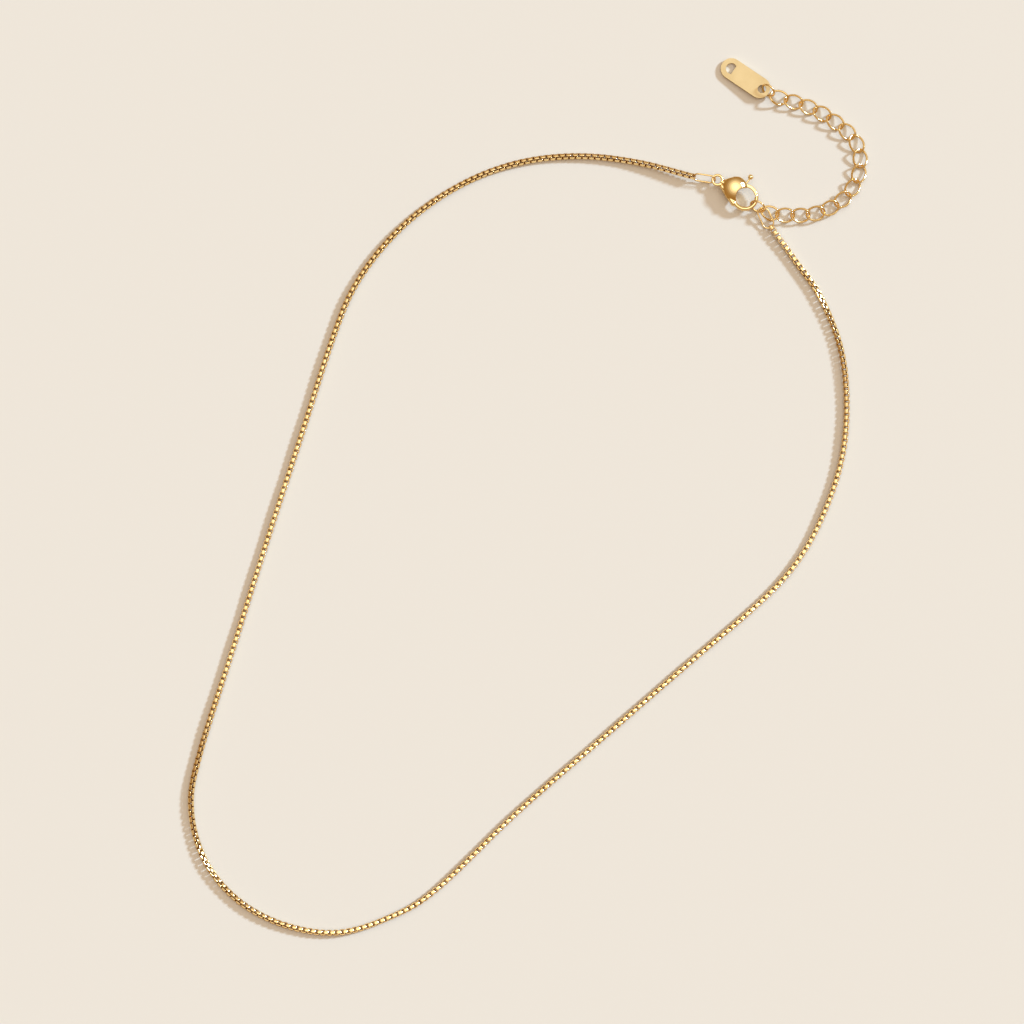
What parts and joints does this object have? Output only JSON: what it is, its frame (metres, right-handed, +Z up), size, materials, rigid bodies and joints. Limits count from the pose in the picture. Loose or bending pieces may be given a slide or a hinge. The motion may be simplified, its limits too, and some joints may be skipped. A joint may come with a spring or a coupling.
{
  "type": "chain necklace",
  "caption": "Fine box-link chain necklace with a sprung lobster clasp, a jump ring and an extender chain that ends in a small flat tag.",
  "frame": {"origin": "middle of the outline, on the surface that the necklace lies on", "axes": "+Z up out of the surface, +Y towards the clasp and the extender, +X towards the extender's side"},
  "size_m": [0.1291, 0.1666, 0.0029],
  "materials": {
    "chain_gold": "polished gold plate",
    "wire_gold": "polished gold plate",
    "clasp_gold": "polished gold plate",
    "pin_gold": "satin gold plate",
    "spring_steel": "drawn wire",
    "tag_gold": "satin pale gold plate"
  },
  "bodies": {
    "chain_front": {"chain_front_even": "chain_gold", "chain_front_odd": "chain_gold"},
    "chain_left_1": {"chain_left_1_even": "chain_gold", "chain_left_1_odd": "chain_gold"},
    "chain_left_2": {"chain_left_2_even": "chain_gold", "chain_left_2_odd": "chain_gold"},
    "chain_left_3": {"chain_left_3_even": "chain_gold", "chain_left_3_odd": "chain_gold"},
    "chain_left_4": {"chain_left_4_even": "chain_gold", "chain_left_4_odd": "chain_gold"},
    "chain_left_5": {"chain_left_5_even": "chain_gold", "chain_left_5_odd": "chain_gold"},
    "chain_left_6": {"chain_left_6_even": "chain_gold", "chain_left_6_odd": "chain_gold"},
    "chain_left_7": {"chain_left_7_even": "chain_gold", "chain_left_7_odd": "chain_gold"},
    "chain_left_8": {"chain_left_8_even": "chain_gold", "chain_left_8_odd": "chain_gold"},
    "chain_right_1": {"chain_right_1_even": "chain_gold", "chain_right_1_odd": "chain_gold"},
    "chain_right_2": {"chain_right_2_even": "chain_gold", "chain_right_2_odd": "chain_gold"},
    "chain_right_3": {"chain_right_3_even": "chain_gold", "chain_right_3_odd": "chain_gold"},
    "chain_right_4": {"chain_right_4_even": "chain_gold", "chain_right_4_odd": "chain_gold"},
    "chain_right_5": {"chain_right_5_even": "chain_gold", "chain_right_5_odd": "chain_gold"},
    "chain_right_6": {"chain_right_6_even": "chain_gold", "chain_right_6_odd": "chain_gold"},
    "chain_right_7": {"chain_right_7_even": "chain_gold", "chain_right_7_odd": "chain_gold"},
    "chain_right_8": {"chain_right_8_even": "chain_gold", "chain_right_8_odd": "chain_gold"},
    "clasp_ring": {"clasp_ring": "wire_gold"},
    "clasp": {"clasp_body": "clasp_gold", "clasp_pin": "pin_gold", "clasp_spring": "spring_steel"},
    "clasp_lever": {"clasp_lever": "clasp_gold"},
    "end_ring": {"end_ring": "wire_gold"},
    "jump_ring": {"jump_ring": "wire_gold"},
    "extender_1": {"extender_1": "wire_gold"},
    "extender_2": {"extender_2": "wire_gold"},
    "extender_3": {"extender_3": "wire_gold"},
    "extender_4": {"extender_4": "wire_gold"},
    "extender_5": {"extender_5": "wire_gold"},
    "extender_6": {"extender_6": "wire_gold"},
    "extender_7": {"extender_7": "wire_gold"},
    "extender_8": {"extender_8": "wire_gold"},
    "extender_9": {"extender_9": "wire_gold"},
    "extender_10": {"extender_10": "wire_gold"},
    "extender_11": {"extender_11": "wire_gold"},
    "extender_12": {"extender_12": "wire_gold"},
    "extender_13": {"extender_13": "wire_gold"},
    "extender_14": {"extender_14": "wire_gold"},
    "extender_15": {"extender_15": "wire_gold"},
    "extender_16": {"extender_16": "wire_gold"},
    "tag_ring": {"tag_ring": "wire_gold"},
    "tag": {"tag": "tag_gold"}
  },
  "joints": [
    {"name": "clasp_lever_open", "type": "hinge", "parent": "clasp", "child": "clasp_lever", "pos_m": [0.04081, 0.05899, 0.0015], "axis": [0, 0, -1], "range_deg": [0, 24], "stiffness_Nm_per_rad": 0.0005, "springref_deg": -34.38},
    {"name": "clasp_roll", "type": "hinge", "parent": "chain_left_8", "child": "clasp", "pos_m": [0.03533, 0.0604, 0.0015], "axis": [0.8445, -0.5356, 0], "range_deg": [-20, 6]},
    {"name": "clasp_ring_spin", "type": "hinge", "parent": "chain_left_8", "child": "clasp_ring", "pos_m": [0.03145, 0.06058, 0.00142], "axis": [0.9987, -0.0459, 0.0205], "range_deg": [-5, 18]},
    {"name": "end_ring_spin", "type": "hinge", "parent": "chain_right_8", "child": "end_ring", "pos_m": [0.04643, 0.05095, 0.00078], "axis": [-0.4859, 0.8629, 0.1388], "range_deg": [-2, 9]},
    {"name": "jump_ring_spin", "type": "hinge", "parent": "chain_right_8", "child": "jump_ring", "pos_m": [0.04316, 0.05544, 0.0015], "axis": [0.8261, -0.556, -0.0915], "range_deg": [0, 15]},
    {"name": "fold_left_1", "type": "hinge", "parent": "chain_front", "child": "chain_left_1", "pos_m": [-0.06164, -0.06818, 0.00062], "axis": [0.7666, -0.6422, -0.0012], "range_deg": [0, 12]},
    {"name": "fold_right_1", "type": "hinge", "parent": "chain_front", "child": "chain_right_1", "pos_m": [-0.04565, -0.08157, 0.0006], "axis": [0.7666, -0.6422, -0.0012], "range_deg": [0, 12]},
    {"name": "fold_left_2", "type": "hinge", "parent": "chain_left_1", "child": "chain_left_2", "pos_m": [-0.06022, -0.04257, 0.00064], "axis": [0.7606, -0.6492, -0.0018], "range_deg": [0, 12]},
    {"name": "fold_right_2", "type": "hinge", "parent": "chain_right_1", "child": "chain_right_2", "pos_m": [-0.02004, -0.07686, 0.00054], "axis": [0.7606, -0.6492, -0.0018], "range_deg": [0, 12]},
    {"name": "fold_left_3", "type": "hinge", "parent": "chain_left_2", "child": "chain_left_3", "pos_m": [-0.0518, -0.01627, 0.00059], "axis": [0.7732, -0.6341, -0.0005], "range_deg": [0, 12]},
    {"name": "fold_right_3", "type": "hinge", "parent": "chain_right_2", "child": "chain_right_3", "pos_m": [-0.0002, -0.05858, 0.00056], "axis": [0.7732, -0.6341, -0.0005], "range_deg": [0, 12]},
    {"name": "fold_left_4", "type": "hinge", "parent": "chain_left_3", "child": "chain_left_4", "pos_m": [-0.04313, 0.0106, 0.00061], "axis": [0.7806, -0.6251, -0.0005], "range_deg": [0, 12]},
    {"name": "fold_right_4", "type": "hinge", "parent": "chain_right_3", "child": "chain_right_4", "pos_m": [0.02066, -0.04048, 0.00057], "axis": [0.7806, -0.6251, -0.0005], "range_deg": [0, 12]},
    {"name": "sway_left_1", "type": "hinge", "parent": "chain_left_4", "child": "chain_left_5", "pos_m": [-0.03375, 0.03785, 0.00064], "axis": [0, 0, 1], "range_deg": [-8, 8]},
    {"name": "sway_right_1", "type": "hinge", "parent": "chain_right_4", "child": "chain_right_5", "pos_m": [0.04117, -0.02293, 0.00058], "axis": [0, 0, 1], "range_deg": [-8, 8]},
    {"name": "sway_left_2", "type": "hinge", "parent": "chain_left_5", "child": "chain_left_6", "pos_m": [-0.02007, 0.05419, 0.0006], "axis": [0, 0, 1], "range_deg": [-8, 8]},
    {"name": "sway_right_2", "type": "hinge", "parent": "chain_right_5", "child": "chain_right_6", "pos_m": [0.05486, -0.00659, 0.00057], "axis": [0, 0, 1], "range_deg": [-8, 8]},
    {"name": "fold_left_7", "type": "hinge", "parent": "chain_left_6", "child": "chain_left_7", "pos_m": [-0.00442, 0.06247, 0.00065], "axis": [0.7977, -0.603, -0.0003], "range_deg": [0, 12]},
    {"name": "fold_right_7", "type": "hinge", "parent": "chain_right_6", "child": "chain_right_7", "pos_m": [0.0606, 0.01332, 0.00062], "axis": [0.7977, -0.603, -0.0003], "range_deg": [0, 12]},
    {"name": "fold_left_8", "type": "hinge", "parent": "chain_left_7", "child": "chain_left_8", "pos_m": [0.01317, 0.06438, 0.00066], "axis": [0.8233, -0.5676, -0.0013], "range_deg": [0, 12]},
    {"name": "fold_right_8", "type": "hinge", "parent": "chain_right_7", "child": "chain_right_8", "pos_m": [0.05758, 0.03376, 0.00059], "axis": [0.8233, -0.5676, -0.0013], "range_deg": [0, 12]},
    {"name": "extender_1_turn", "type": "hinge", "parent": "jump_ring", "child": "extender_1", "pos_m": [0.04441, 0.05415, 0.00119], "axis": [0, 0, 1], "range_deg": [-8, 6]},
    {"name": "extender_2_turn", "type": "hinge", "parent": "extender_1", "child": "extender_2", "pos_m": [0.04751, 0.0535, 0.00081], "axis": [0, 0, 1], "range_deg": [-12, 8]},
    {"name": "extender_3_lift", "type": "hinge", "parent": "extender_2", "child": "extender_3", "pos_m": [0.05042, 0.05328, 0.00072], "axis": [-0.0136, -0.9999, 0], "range_deg": [0, 12]},
    {"name": "extender_4_turn", "type": "hinge", "parent": "extender_3", "child": "extender_4", "pos_m": [0.05333, 0.05344, 0.00072], "axis": [0, 0, 1], "range_deg": [-20, 5]},
    {"name": "extender_5_lift", "type": "hinge", "parent": "extender_4", "child": "extender_5", "pos_m": [0.05615, 0.05414, 0.00072], "axis": [0.3546, -0.935, 0], "range_deg": [0, 12]},
    {"name": "extender_6_turn", "type": "hinge", "parent": "extender_5", "child": "extender_6", "pos_m": [0.05873, 0.05546, 0.00072], "axis": [0, 0, 1], "range_deg": [-20, 3]},
    {"name": "extender_7_lift", "type": "hinge", "parent": "extender_6", "child": "extender_7", "pos_m": [0.06089, 0.05738, 0.00072], "axis": [0.7699, -0.6381, 0], "range_deg": [0, 12]},
    {"name": "extender_8_turn", "type": "hinge", "parent": "extender_7", "child": "extender_8", "pos_m": [0.0624, 0.05984, 0.00072], "axis": [0, 0, 1], "range_deg": [-20, 2]},
    {"name": "extender_9_lift", "type": "hinge", "parent": "extender_8", "child": "extender_9", "pos_m": [0.06312, 0.06263, 0.00072], "axis": [0.9964, -0.0847, 0], "range_deg": [0, 12]},
    {"name": "extender_10_turn", "type": "hinge", "parent": "extender_9", "child": "extender_10", "pos_m": [0.06289, 0.06549, 0.00072], "axis": [0, 0, 1], "range_deg": [-20, 0]},
    {"name": "extender_11_lift", "type": "hinge", "parent": "extender_10", "child": "extender_11", "pos_m": [0.06164, 0.06804, 0.00072], "axis": [0.7813, 0.6242, 0], "range_deg": [0, 12]},
    {"name": "extender_12_turn", "type": "hinge", "parent": "extender_11", "child": "extender_12", "pos_m": [0.05959, 0.07011, 0.00072], "axis": [0, 0, 1], "range_deg": [-12, 12]},
    {"name": "extender_13_lift", "type": "hinge", "parent": "extender_12", "child": "extender_13", "pos_m": [0.05723, 0.07182, 0.00072], "axis": [0.5384, 0.8427, 0], "range_deg": [0, 12]},
    {"name": "extender_14_turn", "type": "hinge", "parent": "extender_13", "child": "extender_14", "pos_m": [0.05468, 0.07324, 0.00072], "axis": [0, 0, 1], "range_deg": [-12, 12]},
    {"name": "extender_15_lift", "type": "hinge", "parent": "extender_14", "child": "extender_15", "pos_m": [0.05197, 0.07434, 0.00072], "axis": [0.3185, 0.9479, 0], "range_deg": [0, 12]},
    {"name": "extender_16_turn", "type": "hinge", "parent": "extender_15", "child": "extender_16", "pos_m": [0.04917, 0.07519, 0.00087], "axis": [0, 0, 1], "range_deg": [-12, 12]},
    {"name": "tag_ring_spin", "type": "hinge", "parent": "extender_16", "child": "tag_ring", "pos_m": [0.0461, 0.07601, 0.00128], "axis": [-0.7703, 0.6004, -0.2148], "range_deg": [-12, 20]},
    {"name": "tag_turn", "type": "hinge", "parent": "tag_ring", "child": "tag", "pos_m": [0.04457, 0.0772, 0.00086], "axis": [0, 0, 1], "range_deg": [-20, 10]}
  ],
  "couplings": [
    {"joint": "fold_right_1", "follows": "fold_left_1", "ratio": 1},
    {"joint": "fold_right_2", "follows": "fold_left_2", "ratio": 1},
    {"joint": "fold_right_3", "follows": "fold_left_3", "ratio": 1},
    {"joint": "fold_right_4", "follows": "fold_left_4", "ratio": 1},
    {"joint": "sway_right_1", "follows": "sway_left_1", "ratio": 1},
    {"joint": "sway_left_2", "follows": "sway_left_1", "ratio": -1},
    {"joint": "sway_right_2", "follows": "sway_left_1", "ratio": -1},
    {"joint": "fold_right_7", "follows": "fold_left_7", "ratio": 1},
    {"joint": "fold_right_8", "follows": "fold_left_8", "ratio": 1}
  ]
}
